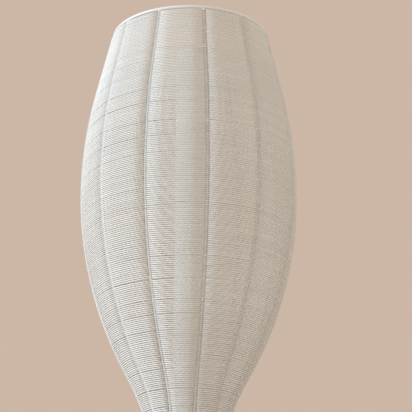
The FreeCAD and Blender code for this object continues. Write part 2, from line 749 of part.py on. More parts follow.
def lamp_holder(low, opens_up):
    """A moulded block on the spine, with a round pocket in which the rotor turns."""
    half = HOLDER_WIDTH / 2
    body = block((SPINE_FACE, HOLDER_FRONT), (-half, half), (low, low + HOLDER_HEIGHT))
    front = [e for e in body.Edges if e.BoundBox.XMin > 0 and e.BoundBox.ZLength > HOLDER_HEIGHT / 2]
    body = body.makeFillet(HOLDER_CORNER, front)
    depth = ROTOR_THICKNESS + ROTOR_FIT
    pocket_low = low + HOLDER_HEIGHT - depth if opens_up else low
    pocket = cylinder(ROTOR_RADIUS + ROTOR_FIT, pocket_low, pocket_low + depth, LAMP_OFFSET)
    half_slot = PIN_RADIUS + PIN_SLOT_GAP
    entry = block((LAMP_OFFSET, HOLDER_FRONT), (-half_slot, half_slot), (pocket_low, pocket_low + depth))
    return body.cut(pocket).cut(entry).cut(holder_screw_hole(low + HOLDER_HEIGHT / 2))


def pin_places():
    return (-PIN_SPACING / 2, PIN_SPACING / 2)


def rotor(low, opens_up):
    """A disc with one slot across the face towards the lamp, in which both pins lie."""
    disc = cylinder(ROTOR_RADIUS, low, low + ROTOR_THICKNESS, LAMP_OFFSET)
    half_slot = PIN_RADIUS + PIN_SLOT_GAP
    floor = ROTOR_THICKNESS - PIN_LENGTH - HOLDER_GAP / 2
    slot_z = (low + floor, low + ROTOR_THICKNESS) if opens_up else (low, low + ROTOR_THICKNESS - floor)
    slot_x = (LAMP_OFFSET - half_slot, LAMP_OFFSET + half_slot)
    return disc.cut(block(slot_x, (-ROTOR_RADIUS, ROTOR_RADIUS), slot_z))


def lamp_cap(low, glass_above):
    """A metal cup over one end of the glass, shut towards the holder."""
    cap = cylinder(LAMP_RADIUS, low, low + LAMP_CAP_LENGTH, LAMP_OFFSET)
    start = low + LAMP_CAP_LENGTH - GLASS_SEAT if glass_above else low
    return cap.cut(cylinder(LAMP_RADIUS - LAMP_CAP_WALL, start, start + GLASS_SEAT, LAMP_OFFSET))


def glass_ends():
    shut = LAMP_CAP_LENGTH - GLASS_SEAT
    return LAMP_BOTTOM + shut, LAMP_TOP - shut


def lamp_glass():
    low, high = glass_ends()
    outer = LAMP_RADIUS - LAMP_CAP_WALL - WELD_GAP / 2
    return cylinder(outer, low, high, LAMP_OFFSET).cut(cylinder(outer - GLASS_WALL, low, high, LAMP_OFFSET))


def led_board():
    """The strip of light sources, held by its edges against the inside of the glass."""
    low, high = glass_ends()
    bore = LAMP_RADIUS - LAMP_CAP_WALL - WELD_GAP / 2 - GLASS_WALL
    half = BOARD_WIDTH / 2
    back = LAMP_OFFSET - math.sqrt(bore**2 - half**2) + WELD_GAP
    x = (back, back + BOARD_THICKNESS)
    return block(x, (-half, half), (low + BOARD_END_GAP, high - BOARD_END_GAP))


def lamp_pins():
    pins = []
    for y in pin_places():
        pins.append(cylinder(PIN_RADIUS, LAMP_BOTTOM - PIN_LENGTH, LAMP_BOTTOM, LAMP_OFFSET, y))
        pins.append(cylinder(PIN_RADIUS, LAMP_TOP, LAMP_TOP + PIN_LENGTH, LAMP_OFFSET, y))
    return together(pins)


def top_cap():
    """The column's lid, with a spigot that fits inside the tube."""
    rim = TUBE_RADIUS + CAP_LIP
    spigot = TUBE_BORE - CAP_FIT
    lid = cylinder(rim, TUBE_TOP, TUBE_TOP + CAP_THICKNESS)
    edge = [e for e in lid.Edges if e.Closed and e.BoundBox.ZMin > TUBE_TOP + CAP_THICKNESS / 2]
    lid = lid.makeFillet(CAP_THICKNESS / 2, edge)
    return lid.fuse(pipe(spigot, spigot - CAP_SPIGOT_WALL, TUBE_TOP - CAP_SPIGOT, TUBE_TOP))


# ---- The waist collar ----
def collar_bore():
    return TUBE_RADIUS + COLLAR_FIT


def waist_collar():
    half = COLLAR_HEIGHT / 2
    outer = collar_bore() + COLLAR_WALL
    return pipe(outer, collar_bore(), WAIST_RING_HEIGHT - half, WAIST_RING_HEIGHT + half)


def waist_spokes():
    """Short wires from the collar's round side out to the waist ring."""
    start = collar_bore() + COLLAR_WALL / 2
    end = radius_at(WAIST_RING_HEIGHT, HOOP_DEPTH) - HOOP_WIRE / 2 - WELD_GAP
    base = FreeCAD.Vector(start, 0, WAIST_RING_HEIGHT)
    half = COLLAR_HEIGHT / 2
    collar = cylinder(collar_bore() + COLLAR_WALL, WAIST_RING_HEIGHT - half, WAIST_RING_HEIGHT + half)
    spoke = Part.makeCylinder(SPOKE_WIRE / 2, end - start, base, RIGHT).cut(collar)
    return together([placed(spoke, turn) for turn in evenly(SPOKE_COUNT, SPOKE_FIRST_TURN)])


# ---- Every piece by its name ----
def pieces():
    lower_winding, upper_winding = winding_ends()
    made = {
        "foot_pads": foot_pads(),
        "base_plate": base_plate(),
        "foot_ring": ring(FOOT_RING_HEIGHT, RIB_DEPTH, FOOT_WIRE),
        "lower_hoop": ring(LOWER_HOOP_HEIGHT, HOOP_DEPTH, HOOP_WIRE),
        "waist_ring": ring(WAIST_RING_HEIGHT, HOOP_DEPTH, HOOP_WIRE),
        "belly_hoop": ring(BELLY_HOOP_HEIGHT, HOOP_DEPTH, HOOP_WIRE),
        "rim_ring": ring(RIM_HEIGHT, RIB_DEPTH, RIM_WIRE),
        "frame_clips": together([placed(clip(), turn) for turn in clip_turns()]),
        "clip_screws": plate_screw_set(0, CLIP_THICKNESS),
        "wiring_cover": wiring_cover(),
        "cover_screws": plate_screw_set(1, COVER_WALL),
        "foot_screws": plate_screw_set(2, FOOT_FLANGE_THICKNESS),
        "earth_screw": plate_screw_set(3, EARTH_TAG[1]),
        "earth_tag": earth_tag(),
        "earth_wire": earth_wire(),
        "cord_gland": cord_gland(),
        "gland_nut": gland_nut(),
        "terminal_block": terminal_block(),
        "lead_wire_line": lead_wire(-1),
        "lead_wire_neutral": lead_wire(1),
        "column_foot": column_foot(),
        "seat_washer": pipe(TUBE_RADIUS + SHOULDER_LIP, TUBE_BORE, SHOULDER_LEVEL, TUBE_BOTTOM),
        "spine": spine(),
        "spine_pin": spine_pin(),
        "lower_lamp_holder": lamp_holder(LOWER_HOLDER_TOP - HOLDER_HEIGHT, True),
        "upper_lamp_holder": lamp_holder(UPPER_HOLDER_BOTTOM, False),
        "holder_screws": holder_screws(),
        "lower_rotor": rotor(LOWER_HOLDER_TOP - ROTOR_THICKNESS, True),
        "upper_rotor": rotor(UPPER_HOLDER_BOTTOM, False),
        "lamp_glass": lamp_glass(),
        "led_board": led_board(),
        "lower_lamp_cap": lamp_cap(LAMP_BOTTOM, True),
        "upper_lamp_cap": lamp_cap(LAMP_TOP - LAMP_CAP_LENGTH, False),
        "lamp_pins": lamp_pins(),
        "diffuser_tube": pipe(TUBE_RADIUS, TUBE_BORE, TUBE_BOTTOM, TUBE_TOP),
        "top_cap": top_cap(),
        "waist_collar": waist_collar(),
        "waist_spokes": waist_spokes(),
        "lower_winding": winding(*inside_ends(lower_winding), "lower winding"),
        "upper_winding": winding(*inside_ends(upper_winding), "upper winding"),
    }
    for name, span in layer_spans().items():
        made[name + "_cord_layer"] = cord_layer(*span)
    for index, turn in enumerate(RIB_TURNS, start=1):
        made["rib_%02d" % index] = rib(turn)
    return made


os.makedirs("parts", exist_ok=True)
for node, shape in pieces().items():
    shape.exportStep(os.path.join("parts", node + ".step"))
    print("%-20s %2d solid(s), %10.1f mm3" % (node, len(shape.Solids), shape.Volume))
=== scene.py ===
# %% [markdown]
# # A floor lantern wound with paper cord
#
# The real lamp is a basket of thin white wires, slim at the waist and full at the chest. One long paper cord is
# wound round it from the floor to the rim, and it is laid over every rib that it passes. A white light column
# stands inside. The solids of the frame, the base and the column come ready made and stay as they are.
# This script gives them their finishes, winds the cord, and adds the small things that repeat.

import json
import math

import bpy
from mathutils import Matrix, Vector


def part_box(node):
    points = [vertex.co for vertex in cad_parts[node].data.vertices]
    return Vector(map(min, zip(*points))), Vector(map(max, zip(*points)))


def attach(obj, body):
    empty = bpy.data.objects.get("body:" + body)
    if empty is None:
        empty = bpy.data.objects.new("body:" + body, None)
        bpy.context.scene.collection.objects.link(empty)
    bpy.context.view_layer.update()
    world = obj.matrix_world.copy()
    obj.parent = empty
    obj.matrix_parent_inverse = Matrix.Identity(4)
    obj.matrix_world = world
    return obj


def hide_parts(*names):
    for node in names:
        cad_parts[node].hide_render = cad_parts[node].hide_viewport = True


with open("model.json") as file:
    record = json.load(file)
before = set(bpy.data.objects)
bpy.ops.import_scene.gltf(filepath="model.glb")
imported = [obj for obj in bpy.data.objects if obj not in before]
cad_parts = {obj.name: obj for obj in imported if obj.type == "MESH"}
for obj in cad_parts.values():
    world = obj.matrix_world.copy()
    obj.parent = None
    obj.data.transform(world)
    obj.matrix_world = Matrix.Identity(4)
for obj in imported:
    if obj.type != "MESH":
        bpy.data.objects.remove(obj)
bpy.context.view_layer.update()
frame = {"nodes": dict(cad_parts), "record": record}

# %% [markdown]
# ## The camera
#
# The picture was taken from low down and close, with a long lens that looks up, so the rim shows as a thin
# ellipse from below. A photograph is matched by four things: where the camera stands, which way it points, how it
# is rolled, and its focal length in pixels. They were worked out from the outline's width at many heights.

# %% Set up the camera
PICTURE_SIDE = 412
FOCAL_PIXELS = 1541

camera = bpy.data.objects.new("camera", bpy.data.cameras.new("camera"))
bpy.context.scene.collection.objects.link(camera)
bpy.context.scene.camera = camera
camera.data.sensor_width = 36
camera.data.lens = FOCAL_PIXELS / PICTURE_SIDE * camera.data.sensor_width
look = Matrix.Rotation(math.radians(-0.66), 4, "Z") @ Matrix.Rotation(math.radians(90 + 18.97), 4, "X")
roll = Matrix.Rotation(math.radians(0.28), 4, "Z")
camera.matrix_world = Matrix.Translation((0, -2.251, 0.343)) @ look @ roll
print("lens: %.1f mm" % camera.data.lens)

# %% [markdown]
# ## Short calls for node trees
#
# Every finish and every repeated shape below is a node tree. Nodes could be added by hand in the editor, but a
# script is easier to read when adding, setting and joining a node is one short call.

# %% A bench for building node trees
def open_socket(sockets, name):
    """The socket of that name that the node shows, as it is set now."""
    return next(socket for socket in sockets if socket.enabled and socket.name == name)


class Bench:
    """One node tree, and the calls that build it."""

    def __init__(self, tree):
        self.tree = tree

    def feed(self, socket, value):
        if isinstance(value, bpy.types.NodeSocket):
            self.tree.links.new(value, socket)
        else:
            socket.default_value = value

    def node(self, kind, settings=None, inputs=None):
        made = self.tree.nodes.new(kind)
        for name, value in (settings or {}).items():
            setattr(made, name, value)
        for name, value in (inputs or {}).items():
            self.feed(open_socket(made.inputs, name), value)
        return made

    def sum(self, work, *values, kind="ShaderNodeMath"):
        """One step of arithmetic on numbers, or on vectors."""
        made = self.tree.nodes.new(kind)
        made.operation = work
        shown = [socket for socket in made.inputs if socket.enabled]
        for socket, value in zip(shown, values):
            self.feed(socket, value)
        return next(socket for socket in made.outputs if socket.enabled)

    def vector(self, work, *values):
        return self.sum(work, *values, kind="ShaderNodeVectorMath")

    def blend(self, share, first, second):
        """A colour between two."""
        made = self.node("ShaderNodeMix", {"data_type": "RGBA"})
        self.feed(open_socket(made.inputs, "Factor"), share)
        self.feed(open_socket(made.inputs, "A"), first)
        self.feed(open_socket(made.inputs, "B"), second)
        return open_socket(made.outputs, "Result")

    def stretch(self, value, low, high, to_low, to_high):
        """A value moved from one range to another, and held inside it."""
        inputs = {"Value": value, "From Min": low, "From Max": high, "To Min": to_low, "To Max": to_high}
        return self.node("ShaderNodeMapRange", {"clamp": True}, inputs).outputs["Result"]

    def noise(self, place, scale, detail=2.0, sides="3D"):
        socket = "W" if sides == "1D" else "Vector"
        inputs = {socket: place, "Scale": scale, "Detail": detail}
        return self.node("ShaderNodeTexNoise", {"noise_dimensions": sides}, inputs).outputs[0]


def tone(red, green, blue):
    """A colour given from 0 to 255 as a picture has it, in the linear light that nodes use."""
    parts = [part / 255 for part in (red, green, blue)]
    linear = [part / 12.92 if part < 0.04045 else ((part + 0.055) / 1.055) ** 2.4 for part in parts]
    return (*linear, 1.0)


print("paper white is", [round(part, 3) for part in tone(236, 231, 220)])

# %% [markdown]
# ## Floor, backdrop and light
#
# The photograph has soft window light from the left, and a dim warm room all round. One large lamp on the left
# stands for the window, a weak one on the right for the wall that throws light back, and the world's colour for
# the room. Only the rays that see the backdrop get its colour, so it doesn't change the light on the lamp.

# %% World and floor
BACKDROP = tone(204, 183, 167)
ROOM_LIGHT = (1.0, 0.95, 0.88, 1.0)
ROOM_STRENGTH = 0.67

world = bpy.data.worlds.new("studio")
bpy.context.scene.world = world
world.use_nodes = True
world.node_tree.nodes.clear()
bench = Bench(world.node_tree)
path = bench.node("ShaderNodeLightPath")
seen = bench.sum("MAXIMUM", path.outputs["Is Camera Ray"], path.outputs["Is Glossy Ray"])
seen = bench.sum("MAXIMUM", seen, path.outputs["Is Transmission Ray"])
room = bench.node("ShaderNodeBackground", None, {"Color": ROOM_LIGHT, "Strength": ROOM_STRENGTH})
backdrop = bench.node("ShaderNodeBackground", None, {"Color": BACKDROP, "Strength": 1.0})
mixed = bench.node("ShaderNodeMixShader")
bench.feed(mixed.inputs[0], seen)
bench.feed(mixed.inputs[1], room.outputs[0])
bench.feed(mixed.inputs[2], backdrop.outputs[0])
bench.feed(bench.node("ShaderNodeOutputWorld").inputs["Surface"], mixed.outputs[0])

floor_mesh = bpy.data.meshes.new("floor")
corners = [(-9, -9, 0), (9, -9, 0), (9, 9, 0), (-9, 9, 0)]
floor_mesh.from_pydata(corners, [], [(0, 1, 2, 3)])
floor = bpy.data.objects.new("floor", floor_mesh)
bpy.context.scene.collection.objects.link(floor)
floor_paint = bpy.data.materials.new("floor_paint")
floor_paint.use_nodes = True
floor_surface = floor_paint.node_tree.nodes["Principled BSDF"]
floor_surface.inputs["Base Color"].default_value = tone(214, 199, 185)
floor_surface.inputs["Roughness"].default_value = 0.8
floor_mesh.materials.append(floor_paint)
bpy.context.scene.view_settings.view_transform = "Standard"
print("floor and world are set")

# %% Lamps
def soft_light(name, place, aim, side, watts, colour):
    """A square sheet of light that faces a point, and that no picture shows."""
    light = bpy.data.lights.new(name, "AREA")
    light.shape = "SQUARE"
    light.size = side
    light.energy = watts
    light.color = colour
    holder = bpy.data.objects.new(name, light)
    holder.location = place
    holder.rotation_euler = (Vector(aim) - Vector(place)).to_track_quat("-Z", "Y").to_euler()
    holder.visible_camera = False
    bpy.context.scene.collection.objects.link(holder)
    return holder


soft_light("window", (-4.9, -1.4, 1.5), (0, 0, 1.0), 1.9, 212, (0.68, 0.83, 1.0))
soft_light("far_wall", (2.3, -1.6, 1.2), (0, 0, 0.9), 2.0, 10, (1.0, 0.90, 0.78))

# %% [markdown]
# ## The side outline
#
# The frame's wires follow one smooth line from the floor to the rim: a straight run below the rim, two arcs that
# bulge out, and two that turn in to the waist. The cord has to lie on those wires, so the script repeats the same
# few sizes and works out the radius at any height. Depths are measured in from the cord's outermost face.

# %% The outline's sizes, in metres
RIM_HEIGHT = 1.397
CHEST_HEIGHT = 1.295
SHOULDER_ARC = 0.700
BELLY_RADIUS = 0.170
BELLY_HEIGHT = 1.135
BELLY_ARC = 0.588
WAIST_RADIUS = 0.052
WAIST_HEIGHT = 0.689
HEM_RADIUS = 0.135
FOOT_RING_HEIGHT = 0.0137
RIB_DEPTH = 0.0054
HOOP_DEPTH = 0.0086
RIB_WIRE = 0.003
RIM_WIRE = 0.005
FOOT_WIRE = 0.005
HOOP_HEIGHTS = (0.360, 0.776, 1.069)
RIB_TURNS = (183, 213, 245, 277, 308, 337, 369, 398, 431, 457, 483, 512)  # from the rib at the back, degrees


def tangent_arc(across, along):
    return (across**2 + along**2) / (2 * across)


def outline_arcs(depth):
    """Each arc's centre radius, centre height, own radius and bulge, from the top down."""
    waist = tangent_arc(BELLY_RADIUS - WAIST_RADIUS, BELLY_HEIGHT - WAIST_HEIGHT) - BELLY_ARC
    hem = tangent_arc(HEM_RADIUS - WAIST_RADIUS, WAIST_HEIGHT - FOOT_RING_HEIGHT)
    return (
        (BELLY_RADIUS - SHOULDER_ARC, BELLY_HEIGHT, SHOULDER_ARC - depth, 1),
        (BELLY_RADIUS - BELLY_ARC, BELLY_HEIGHT, BELLY_ARC - depth, 1),
        (WAIST_RADIUS + waist, WAIST_HEIGHT, waist + depth, -1),
        (WAIST_RADIUS + hem, WAIST_HEIGHT, hem + depth, -1),
    )


def radius_at(height, depth):
    """How far from the axis the outline is at a height, set in by that depth."""
    lean = math.asin((CHEST_HEIGHT - BELLY_HEIGHT) / SHOULDER_ARC)
    shoulder, belly, waist, _ = arcs = outline_arcs(depth)
    chest = BELLY_HEIGHT + shoulder[2] * math.sin(lean)
    if height > chest:
        return radius_at(chest, depth) - (height - chest) * math.tan(lean)
    climb = (waist[1] - belly[1]) / math.hypot(waist[0] - belly[0], waist[1] - belly[1])
    joints = (BELLY_HEIGHT, BELLY_HEIGHT + climb * belly[2], WAIST_HEIGHT)
    above = [height >= joint for joint in joints] + [True]
    centre_radius, centre_height, arc, bulge = arcs[above.index(True)]
    return centre_radius + bulge * math.sqrt(arc**2 - (height - centre_height) ** 2)


def polar(radius, turn, height):
    """A point that far from the axis, turned from the front towards the lamp's right."""
    angle = math.radians(turn)
    return Vector((radius * math.sin(angle), -radius * math.cos(angle), height))


print("belly %.0f mm, waist %.0f mm" % (1000 * radius_at(1.135, 0), 1000 * radius_at(0.689, 0)))

# %% [markdown]
# ## Effects that several finishes share
#
# Grain, scuffs, dust and the streaks of drawn metal turn up on more than one piece. Each is a shader node group,
# made once, with its sizes as named inputs. A group only puts out colours, masks and heights. The shader itself
# stays in each material, where a reader can see what feeds it.

# %% Make a shader group
def shader_group(name, inputs, outputs):
    """An empty group with named sockets: returns its bench, its inputs and its output node."""
    tree = bpy.data.node_groups.new(name, "ShaderNodeTree")
    kinds = {"colour": "NodeSocketColor", "number": "NodeSocketFloat", "vector": "NodeSocketVector"}
    for label, kind, value in inputs:
        socket = tree.interface.new_socket(label, in_out="INPUT", socket_type=kinds[kind])
        if value is not None:
            socket.default_value = value
    for label, kind in outputs:
        tree.interface.new_socket(label, in_out="OUTPUT", socket_type=kinds[kind])
    bench = Bench(tree)
    return bench, bench.node("NodeGroupInput").outputs, bench.node("NodeGroupOutput").inputs


def multiply_colour(bench, share, colour, number):
    """A colour made lighter or darker by a number, where the share is 1."""
    grey = bench.node("ShaderNodeCombineColor", None, {"Red": number, "Green": number, "Blue": number})
    made = bench.node("ShaderNodeMix", {"data_type": "RGBA", "blend_type": "MULTIPLY"})
    bench.feed(open_socket(made.inputs, "Factor"), share)
    bench.feed(open_socket(made.inputs, "A"), colour)
    bench.feed(open_socket(made.inputs, "B"), grey.outputs[0])
    return open_socket(made.outputs, "Result")


print("shader groups can be made")

# %% Grain: the fine orange peel of powder paint, or the dull skin of moulded plastic
bench, given, result = shader_group(
    "grain",
    [("Place", "vector", None), ("Colour", "colour", (0.8, 0.8, 0.8, 1)), ("Size", "number", 0.001),
     ("Shade", "number", 0.04)],
    [("Colour", "colour"), ("Height", "number")],
)
fine = bench.noise(given["Place"], bench.sum("DIVIDE", 1.0, given["Size"]), 3.0)
patches = bench.noise(given["Place"], bench.sum("DIVIDE", 0.05, given["Size"]), 2.0)
both = bench.sum("ADD", bench.sum("MULTIPLY", fine, 0.4), bench.sum("MULTIPLY", patches, 0.6))
darker = bench.sum("SUBTRACT", 1.0, bench.sum("MULTIPLY", both, given["Shade"]))
bench.feed(result["Colour"], multiply_colour(bench, 1.0, given["Colour"], darker))
bench.feed(result["Height"], fine)
grain = bench.tree

# %% Scuffs: paint rubbed through in small patches low on the lamp, where feet and brooms reach it
bench, given, result = shader_group(
    "scuffs",
    [("Place", "vector", None), ("Colour", "colour", (0.8, 0.8, 0.8, 1)), ("Under", "colour", (0.3, 0.3, 0.3, 1)),
     ("Reach", "number", 0.05), ("Amount", "number", 0.3)],
    [("Colour", "colour"), ("Worn", "number")],
)
height = bench.node("ShaderNodeSeparateXYZ", None, {"Vector": given["Place"]}).outputs["Z"]
low = bench.stretch(bench.sum("DIVIDE", height, given["Reach"]), 0.0, 1.0, 1.0, 0.0)
marks = bench.noise(given["Place"], 90.0, 6.0)
edge = bench.sum("SUBTRACT", 0.78, bench.sum("MULTIPLY", given["Amount"], 0.25))
worn = bench.stretch(bench.sum("SUBTRACT", marks, edge), 0.0, 0.03, 0.0, 1.0)
worn = bench.sum("MULTIPLY", worn, low)
bench.feed(result["Colour"], bench.blend(worn, given["Colour"], given["Under"]))
bench.feed(result["Worn"], worn)
scuffs = bench.tree

# %% Dust: a thin warm grey film on what faces up
bench, given, result = shader_group(
    "dust",
    [("Place", "vector", None), ("Colour", "colour", (0.8, 0.8, 0.8, 1)), ("Amount", "number", 0.3)],
    [("Colour", "colour"), ("Film", "number")],
)
normal = bench.node("ShaderNodeNewGeometry").outputs["Normal"]
facing_up = bench.node("ShaderNodeSeparateXYZ", None, {"Vector": normal}).outputs["Z"]
film = bench.sum("MULTIPLY", bench.stretch(facing_up, 0.35, 0.95, 0.0, 1.0), given["Amount"])
film = bench.sum("MULTIPLY", film, bench.stretch(bench.noise(given["Place"], 60.0, 4.0), 0.3, 0.7, 0.4, 1.0))
bench.feed(result["Colour"], bench.blend(film, given["Colour"], tone(176, 168, 156)))
bench.feed(result["Film"], film)
dust = bench.tree

# %% Streaks: the fine lines of metal that was drawn, turned or brushed
bench, given, result = shader_group(
    "streaks",
    [("Place", "vector", None), ("Colour", "colour", (0.6, 0.6, 0.6, 1)), ("Squeeze", "vector", (1, 1, 0.02)),
     ("Shade", "number", 0.15)],
    [("Colour", "colour"), ("Height", "number"), ("Roughness", "number")],
)
squeezed = bench.vector("MULTIPLY", given["Place"], given["Squeeze"])
lines = bench.noise(squeezed, 1400.0, 3.0)
broad = bench.noise(squeezed, 160.0, 2.0)
darker = bench.sum("SUBTRACT", 1.0, bench.sum("MULTIPLY", bench.sum("ADD", lines, broad), given["Shade"]))
bench.feed(result["Colour"], multiply_colour(bench, 1.0, given["Colour"], darker))
bench.feed(result["Height"], lines)
bench.feed(result["Roughness"], bench.stretch(lines, 0.3, 0.7, 0.28, 0.46))
streaks = bench.tree
print("groups:", [tree.name for tree in bpy.data.node_groups])

# %% [markdown]
# ## The cord's finish
#
# Paper cord is a strip of kraft or bleached paper twisted tight, so its surface is a row of slanting ridges with
# a thin shadow between them. The pattern has to follow the cord round every bend, so it can't come from the
# object's own coordinates. The winding below stores two things on its mesh: how far along the cord a point is, and
# which way round the cord it faces. The angle and the length together make the ridges.

# %% Cord lay: slanting ridges, fibres and slow changes of tone along the cord
STRANDS = 2
LAY_LENGTH = 0.0075

bench, given, result = shader_group(
    "cord lay",
    [("Colour", "colour", tone(244, 242, 237)), ("Shadow", "colour", tone(196, 186, 168)),
     ("Along", "number", 0.0), ("Around", "vector", None)],
    [("Colour", "colour"), ("Height", "number"), ("Roughness", "number")],
)
ways = bench.node("ShaderNodeSeparateXYZ", None, {"Vector": given["Around"]}).outputs
angle = bench.sum("ARCTAN2", ways["Y"], ways["X"])
twist = bench.sum("MULTIPLY", given["Along"], 2 * math.pi / LAY_LENGTH)
phase = bench.sum("ADD", bench.sum("MULTIPLY", angle, STRANDS), twist)
ridge = bench.stretch(bench.sum("SINE", phase), -1.0, 1.0, 0.0, 1.0)
groove = bench.stretch(ridge, 0.0, 0.35, 1.0, 0.0)
slow = bench.noise(given["Along"], 1.1, 3.0, "1D")
quick = bench.noise(given["Along"], 900.0, 2.0, "1D")
lighter = bench.stretch(bench.sum("ADD", bench.sum("MULTIPLY", slow, 0.75), bench.sum("MULTIPLY", quick, 0.25)),
                        0.3, 0.7, 0.90, 1.0)
# The grooves between the ridges are painted darker, towards the Shadow colour: painted shade.
shaded = bench.blend(bench.sum("MULTIPLY", groove, 0.45), given["Colour"], given["Shadow"])
bench.feed(result["Colour"], multiply_colour(bench, 1.0, shaded, lighter))
bench.feed(result["Height"], bench.sum("ADD", ridge, bench.sum("MULTIPLY", quick, 0.3)))
bench.feed(result["Roughness"], bench.stretch(quick, 0.3, 0.7, 0.66, 0.82))
cord_lay = bench.tree
print("cord: %d strands, %.1f mm lay" % (STRANDS, 1000 * LAY_LENGTH))

# %% Materials that start from one shader
def material(name, roughness=0.5, metallic=0.0, **constants):
    """A material with a plain shader on it: returns it, its bench and its shader."""
    made = bpy.data.materials.new(name)
    made.use_nodes = True
    shader = made.node_tree.nodes["Principled BSDF"]
    shader.inputs["Roughness"].default_value = roughness
    shader.inputs["Metallic"].default_value = metallic
    for label, value in constants.items():
        shader.inputs[label.replace("_", " ")].default_value = value
    return made, Bench(made.node_tree), shader


def own_place(bench):
    return bench.node("ShaderNodeTexCoord").outputs["Object"]


def apply(bench, group, inputs):
    """A group placed in a material, with its inputs set or joined."""
    placed = bench.node("ShaderNodeGroup", {"node_tree": group})
    for label, value in inputs.items():
        bench.feed(placed.inputs[label], value)
    return placed.outputs


def emboss(bench, shader, height, distance, strength=0.5):
    """Feeds a height to the shader's normal as a bump of that many metres."""
    bump = bench.node("ShaderNodeBump", None, {"Height": height, "Distance": distance, "Strength": strength})
    bench.feed(shader.inputs["Normal"], bump.outputs["Normal"])


def cord_material():
    made, bench, shader = material("wound_cord", 0.74)
    along = bench.node("ShaderNodeAttribute", {"attribute_name": "along"}).outputs["Fac"]
    around = bench.node("ShaderNodeAttribute", {"attribute_name": "around"}).outputs["Vector"]
    lay = apply(bench, cord_lay, {"Along": along, "Around": around})
    dusty = apply(bench, dust, {"Place": own_place(bench), "Colour": lay["Colour"], "Amount": 0.12})
    bench.feed(shader.inputs["Base Color"], dusty["Colour"])
    bench.feed(shader.inputs["Roughness"], lay["Roughness"])
    emboss(bench, shader, lay["Height"], 0.00015, 0.6)
    return made


finishes = {"wound_cord": cord_material()}
print("made", sorted(finishes))

# %% [markdown]
# ## Painted, moulded and metal finishes
#
# The frame's wire, the plate and the cover are powder coated: matt, very slightly pebbled, with a little dust on
# top and a few scuffs near the floor. Plastics have a finer skin. Turned and drawn metals show streaks that run
# the way the tool went. Each is a few lines, because the effects above do the work.

# %% Paints and plastics
def paint(name, colour, roughness, grain_size, amount_of_dust, wear, reach=0.05):
    made, bench, shader = material(name, roughness)
    place = own_place(bench)
    skin = apply(bench, grain, {"Place": place, "Colour": tone(*colour), "Size": grain_size, "Shade": 0.05})
    rubbed = apply(bench, scuffs, {"Place": place, "Colour": skin["Colour"], "Under": tone(120, 116, 110),
                                   "Reach": reach, "Amount": wear})
    dusty = apply(bench, dust, {"Place": place, "Colour": rubbed["Colour"], "Amount": amount_of_dust})
    bench.feed(shader.inputs["Base Color"], dusty["Colour"])
    rougher = bench.sum("ADD", roughness, bench.sum("MULTIPLY", dusty["Film"], 0.3))
    bench.feed(shader.inputs["Roughness"], rougher)
    emboss(bench, shader, skin["Height"], grain_size * 0.1, 0.35)
    return made


def moulded(name, colour, roughness, grain_size=0.0004, **constants):
    made, bench, shader = material(name, roughness, **constants)
    skin = apply(bench, grain, {"Place": own_place(bench), "Colour": tone(*colour), "Size": grain_size,
                                "Shade": 0.06})
    bench.feed(shader.inputs["Base Color"], skin["Colour"])
    emboss(bench, shader, skin["Height"], grain_size * 0.1, 0.3)
    return made


finishes["frame_paint"] = paint("frame_paint", (240, 238, 232), 0.42, 0.0008, 0.15, 0.25)
finishes["plate_paint"] = paint("plate_paint", (228, 225, 217), 0.55, 0.0012, 0.45, 0.45, 0.02)
finishes["cover_paint"] = paint("cover_paint", (231, 228, 220), 0.45, 0.0010, 0.40, 0.4)
finishes["pad_rubber"] = moulded("pad_rubber", (52, 51, 50), 0.85, 0.0006)
finishes["dark_plastic"] = moulded("dark_plastic", (48, 47, 46), 0.5)
finishes["pale_plastic"] = moulded("pale_plastic", (232, 230, 222), 0.4)
finishes["board_white"] = moulded("board_white", (240, 239, 234), 0.35)
finishes["wire_brown"] = moulded("wire_brown", (112, 72, 44), 0.4)
finishes["wire_blue"] = moulded("wire_blue", (56, 104, 176), 0.4)
finishes["wire_green"] = moulded("wire_green", (120, 160, 60), 0.4)
print("made", len(finishes), "finishes")

# %% Metals
def streaked(name, colour, squeeze, shade):
    made, bench, shader = material(name, 0.36, 1.0)
    lines = apply(bench, streaks, {"Place": own_place(bench), "Colour": tone(*colour), "Squeeze": squeeze,
                                   "Shade": shade})
    bench.feed(shader.inputs["Base Color"], lines["Colour"])
    bench.feed(shader.inputs["Roughness"], lines["Roughness"])
    emboss(bench, shader, lines["Height"], 0.00002, 0.3)
    return made


finishes["turned_steel"] = streaked("turned_steel", (205, 204, 202), (0.05, 0.05, 1.0), 0.12)
finishes["screw_steel"] = streaked("screw_steel", (200, 199, 196), (1.0, 1.0, 0.3), 0.15)
finishes["channel_aluminium"] = streaked("channel_aluminium", (222, 222, 224), (1.0, 1.0, 0.01), 0.10)
finishes["cap_aluminium"] = streaked("cap_aluminium", (224, 224, 226), (0.1, 0.1, 1.0), 0.10)
finishes["pin_brass"] = streaked("pin_brass", (214, 182, 112), (1.0, 1.0, 0.05), 0.12)
print("made", len(finishes), "finishes")

# %% [markdown]
# ## The opal tube and the lamp's glass
#
# The light column is a tube of milky acrylic. It is switched off in the photograph, so it looks like smooth white
# plastic with a soft shine, and only its thickness lets a little light in. The lamp inside has frosted glass, which
# lets most light through but blurs what is behind it.

# %% Opal acrylic and frosted glass
def opal(name, colour, roughness):
    made, bench, shader = material(name, roughness, Coat_Weight=0.25, Coat_Roughness=0.25)
    place = own_place(bench)
    skin = apply(bench, grain, {"Place": place, "Colour": tone(*colour), "Size": 0.004, "Shade": 0.02})
    dusty = apply(bench, dust, {"Place": place, "Colour": skin["Colour"], "Amount": 0.5})
    bench.feed(shader.inputs["Base Color"], dusty["Colour"])
    smears = bench.stretch(bench.noise(place, 25.0, 4.0), 0.35, 0.7, roughness - 0.05, roughness + 0.15)
    bench.feed(shader.inputs["Roughness"], smears)
    return made


